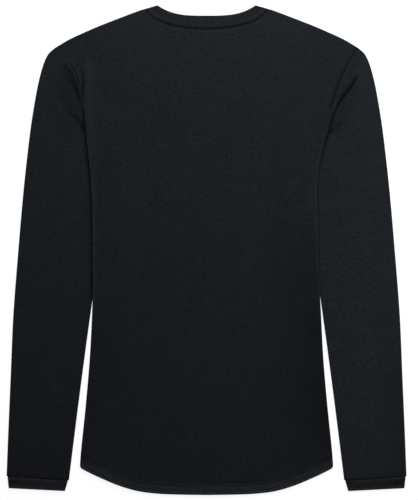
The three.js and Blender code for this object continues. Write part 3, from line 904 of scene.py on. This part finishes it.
def make_stitches(name, rows, pitch, material):
    """Sewing thread along rows of points: at each pitch along a row, one flat spindle that lies along
    it, made of rings whose radius goes with the root of the sine of the way along the stitch."""
    length, sides = 0.78 * pitch, 8
    way = np.linspace(-0.5, 0.5, 7)[1:-1, None]
    turn = np.arange(sides) * 2 * math.pi / sides
    radius = THREAD_RADIUS * np.sqrt(np.cos(way * math.pi))
    rings = np.stack(np.broadcast_arrays(
        way * length, radius * np.cos(turn), 0.75 * radius * np.sin(turn),
    ), -1).reshape(-1, 3)
    shape = np.concatenate([rings, [[-length / 2, 0, 0], [length / 2, 0, 0]]])
    index = np.arange(len(rings)).reshape(len(way), sides)
    following = np.roll(index, -1, axis=1)
    side_faces = np.stack([index[:-1], following[:-1], following[1:], index[1:]], -1).reshape(-1, 4)
    start, end = len(rings), len(rings) + 1
    tips = np.concatenate([
        np.stack([following[0], index[0], np.full(sides, start)], -1),
        np.stack([index[-1], following[-1], np.full(sides, end)], -1),
    ])
    middle, ahead = [], []
    for row in rows:
        distance = np.concatenate([[0], np.cumsum(np.linalg.norm(np.diff(row, axis=0), axis=1))])
        at = np.arange(pitch, distance[-1] - pitch, pitch)
        for spots, shift in ((middle, 0), (ahead, 0.5)):
            spots.append(np.stack([np.interp(at + shift, distance, row[:, k]) for k in range(3)], -1))
    middle = np.concatenate(middle)
    along = unit(np.concatenate(ahead) - middle)
    aside = unit(np.cross([0, 0, 1], along))
    axes = np.stack([along, aside, np.cross(along, aside)], 1)
    vertices = middle[:, None] + shape @ axes
    shift = (np.arange(len(middle)) * len(shape))[:, None, None]
    mesh = bpy.data.meshes.new(name)
    faces = (side_faces + shift).reshape(-1, 4).tolist() + (tips + shift).reshape(-1, 3).tolist()
    mesh.from_pydata((vertices.reshape(-1, 3) * MM).tolist(), [], faces)
    mesh.polygons.foreach_set("use_smooth", np.ones(len(faces), dtype=bool))
    mesh.materials.append(material)
    mesh.update()
    obj = bpy.data.objects.new(name, mesh)
    bpy.context.collection.objects.link(obj)
    return obj


def hem_row(edges, distance):
    """A row of flat points along the hem band, at a distance from its edge."""
    u = np.linspace(0.012, 0.988, 1200)
    return sheet_points(edges, u, np.full_like(u, distance / SIDE_LENGTH))


def back_row(distance):
    """A row of points of thread on the upper side of the back's hem band: the panel's height and the
    band's, the pucker and the dip of the row."""
    points = hem_row(panel_edges(BACK_NECK_DROP, 0), distance)
    panel = body_rise(points, BACK_RAMP) + FLAT_HEIGHT + drift(points)
    return raised(points, panel + HEM_RISE + pucker(points[..., 0], distance) - STITCH_DEPTH + 0.04)


def front_row(distance):
    """A row of points of thread on the underside of the front's hem band, on the surface."""
    points = hem_row(panel_edges(FRONT_NECK_DROP, FRONT_HEM_RISE), distance)
    return raised(points, np.full(len(points), 0.02))


def add(tree, kind, inputs=None, **settings):
    """Adds a shader node with settings, and sets or links its inputs by name or number."""
    node = tree.nodes.new(kind)
    for key, value in settings.items():
        setattr(node, key, value)
    for key, value in (inputs or {}).items():
        if isinstance(value, bpy.types.NodeSocket):
            tree.links.new(value, node.inputs[key])
        else:
            node.inputs[key].default_value = value
    return node


def calc(tree, operation, *values):
    """One step of arithmetic in a shader, and its result."""
    return add(tree, "ShaderNodeMath", dict(enumerate(values)), operation=operation).outputs[0]


def new_material(name):
    """An empty material, its node tree and its surface node."""
    material = bpy.data.materials.new(name)
    material.use_nodes = True
    material.node_tree.nodes.clear()
    shader = add(material.node_tree, "ShaderNodeBsdfPrincipled")
    add(material.node_tree, "ShaderNodeOutputMaterial", {"Surface": shader.outputs[0]})
    return material, material.node_tree, shader


def cloth_colour(tree, shader, colour, shade):
    """Near-black colour, uneven at two scales, times a shade from the knit."""
    place = add(tree, "ShaderNodeTexCoord").outputs["Object"]
    for scale, roughness, gain, least in ((24.0, 0.65, 0.3, 0.85), (280.0, 0.75, 1.9, 0.05)):
        inputs = {"Vector": place, "Scale": scale, "Detail": 4.0, "Roughness": roughness}
        noise = add(tree, "ShaderNodeTexNoise", inputs).outputs[0]
        shade = calc(tree, "MULTIPLY", shade, calc(tree, "MULTIPLY_ADD", noise, gain, least))
    scaled = add(tree, "ShaderNodeVectorMath", {0: colour, "Scale": shade}, operation="SCALE")
    tree.links.new(scaled.outputs[0], shader.inputs["Base Color"])


def cloth_map(tree):
    """The two coordinates of the cloth's flat map, in metres."""
    uv = add(tree, "ShaderNodeUVMap", uv_map="cloth").outputs[0]
    return add(tree, "ShaderNodeSeparateXYZ", {0: uv}).outputs


def wave(tree, place, length):
    """A sine wave of a length in millimetres along a coordinate in metres."""
    return calc(tree, "SINE", calc(tree, "MULTIPLY", place, 2 * math.pi / (length * MM)))


def knit_surface(tree, shader, relief, strength, depth, shade, colour):
    """What both knits share: bump from their relief, a colour times shade and the painted light and
    shade of the mesh, and a matt surface with a trace of sheen."""
    bump = add(tree, "ShaderNodeBump", {"Strength": strength, "Distance": depth, "Height": relief})
    painted_shading = add(tree, "ShaderNodeAttribute", attribute_name="painted_shading").outputs["Fac"]
    cloth_colour(tree, shader, colour, calc(tree, "MULTIPLY", shade, painted_shading))
    tree.links.new(bump.outputs[0], shader.inputs["Normal"])
    shader.inputs["Roughness"].default_value = 0.85
    shader.inputs["Specular IOR Level"].default_value = 0.06
    shader.inputs["Sheen Weight"].default_value = 0.02
    shader.inputs["Sheen Roughness"].default_value = 0.5


def jersey_material():
    """Fine jersey in wales, each of two slanting legs. Across a wale a leg is half a sine wave, and
    along it a sine wave whose phase goes with the distance from the wale's middle."""
    material, tree, shader = new_material("jersey")
    place = cloth_map(tree)
    wale = calc(tree, "FRACT", calc(tree, "MULTIPLY", place[0], 1 / (WALE * MM)))
    leg = calc(tree, "ABSOLUTE", calc(tree, "SUBTRACT", wale, 0.5))
    across = calc(tree, "SINE", calc(tree, "MULTIPLY", leg, 2 * math.pi))
    course = calc(tree, "MULTIPLY", place[1], 1 / (COURSE * MM))
    phase = calc(tree, "MULTIPLY_ADD", leg, 1.3, course)
    along = calc(tree, "SINE", calc(tree, "MULTIPLY", phase, 2 * math.pi))
    relief = calc(tree, "MULTIPLY", across, calc(tree, "MULTIPLY_ADD", along, 0.3, 0.7))
    shade = calc(tree, "MULTIPLY_ADD", relief, 0.3, 0.82)
    knit_surface(tree, shader, relief, 0.55, 0.00012, shade, (0.0097, 0.0120, 0.0141))
    return material


def ribbing_material():
    """Rib knit: ribs across the band, each a sine wave with flattened tops, crossed by fine
    courses."""
    material, tree, shader = new_material("ribbing")
    place = cloth_map(tree)
    rib = calc(tree, "SQRT", calc(tree, "MULTIPLY_ADD", wave(tree, place[0], RIB_PITCH), 0.5, 0.5))
    relief = calc(tree, "MULTIPLY_ADD", wave(tree, place[1], RIB_COURSE), 0.07, rib)
    shade = calc(tree, "MULTIPLY_ADD", rib, 0.35, 0.78)
    knit_surface(tree, shader, relief, 0.6, 0.00035, shade, (0.0108, 0.0113, 0.0132))
    return material


def thread_material():
    """Sewing thread, a little smoother than the cloth."""
    material, tree, shader = new_material("thread")
    place = add(tree, "ShaderNodeTexCoord").outputs["Object"]
    ply = add(tree, "ShaderNodeTexWave", {"Vector": place, "Scale": 900.0, "Distortion": 1.0})
    ply = ply.outputs["Fac"]
    bump = add(tree, "ShaderNodeBump", {"Strength": 0.4, "Distance": 0.00005, "Height": ply})
    shade = calc(tree, "MULTIPLY_ADD", ply, 0.3, 0.8)
    cloth_colour(tree, shader, (0.013, 0.0145, 0.017), shade)
    tree.links.new(bump.outputs[0], shader.inputs["Normal"])
    shader.inputs["Roughness"].default_value = 0.6
    shader.inputs["Specular IOR Level"].default_value = 0.12
    return material


def floor_material():
    """Plain white paper, lit from below as on a photographer's light table."""
    material, _, shader = new_material("paper")
    shader.inputs["Base Color"].default_value = (0.24, 0.24, 0.24, 1)
    shader.inputs["Emission Color"].default_value = (1, 1, 1, 1)
    shader.inputs["Emission Strength"].default_value = 0.86
    shader.inputs["Roughness"].default_value = 0.9
    shader.inputs["Specular IOR Level"].default_value = 0.0
    return material


def make_floor():
    """The surface that the top lies on, a square so wide that its end stays out of sight."""
    mesh = bpy.data.meshes.new("floor")
    half, z = 40, -0.0003
    corners = [(-half, -half, z), (half, -half, z), (half, half, z), (-half, half, z)]
    mesh.from_pydata(corners, [], [(0, 1, 2, 3)])
    mesh.materials.append(floor_material())
    floor = bpy.data.objects.new("floor", mesh)
    bpy.context.collection.objects.link(floor)
    return floor


def area_light(name, location, target, size, power, colour):
    """A square soft light of a colour that faces a point."""
    data = bpy.data.lights.new(name, "AREA")
    data.shape = "SQUARE"
    data.size = size
    data.energy = power
    data.color = colour
    light = bpy.data.objects.new(name, data)
    bpy.context.collection.objects.link(light)
    light.location = location
    direction = Vector(target) - Vector(location)
    light.rotation_euler = direction.to_track_quat("-Z", "Y").to_euler()
    light.visible_camera = False
    return light


def set_stage():
    """Key light from beyond the neck, a low weak light from the right, pale surroundings, and the
    camera straight above the shirt."""
    area_light("key", (0.15, 0.9, 0.7), (0, 0.1, 0), 0.9, 13.5, (0.92, 1, 1))
    area_light("side", (0.8, 0.05, 0.3), (0.1, 0, 0), 0.45, 2.2, (1, 1, 1))
    world = bpy.data.worlds.new("studio")
    world.use_nodes = True
    background = world.node_tree.nodes["Background"]
    background.inputs["Color"].default_value = (1.03, 0.87, 1.01, 1)
    background.inputs["Strength"].default_value = 0.3
    bpy.context.scene.world = world
    bpy.context.scene.view_settings.view_transform = "Standard"
    data = bpy.data.cameras.new("camera")
    data.lens = 85
    data.sensor_width = 36
    camera = bpy.data.objects.new("camera", data)
    bpy.context.collection.objects.link(camera)
    camera.location = (0.0036, 0.0002, 1.735)
    bpy.context.scene.camera = camera


jersey = jersey_material()
ribbing = ribbing_material()
thread = thread_material()
back = make_back(jersey)
front = make_front(jersey)
sleeves = {side: make_sleeve(side, jersey) for side in ("left", "right")}
cuffs = {side: make_cuff(side, ribbing) for side in ("left", "right")}
neckband = make_neckband(ribbing)
back_rows = [back_row(distance) for distance in STITCH_ROWS]
front_rows = [front_row(distance) for distance in STITCH_ROWS]
back_hem = make_stitches("hem_stitches_back", back_rows, STITCH_PITCH, thread)
front_hem = make_stitches("hem_stitches_front", front_rows, STITCH_PITCH, thread)

for node, obj in (("back", back), ("front", front), ("neckband", neckband)):
    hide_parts(node)
for side in ("left", "right"):
    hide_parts("sleeve_" + side)
    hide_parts("cuff_" + side)
for obj in (back, front, *sleeves.values(), back_hem, front_hem):
    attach(obj, "root")
for obj in (neckband, *cuffs.values()):
    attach(obj, "root")

floor = make_floor()
set_stage()
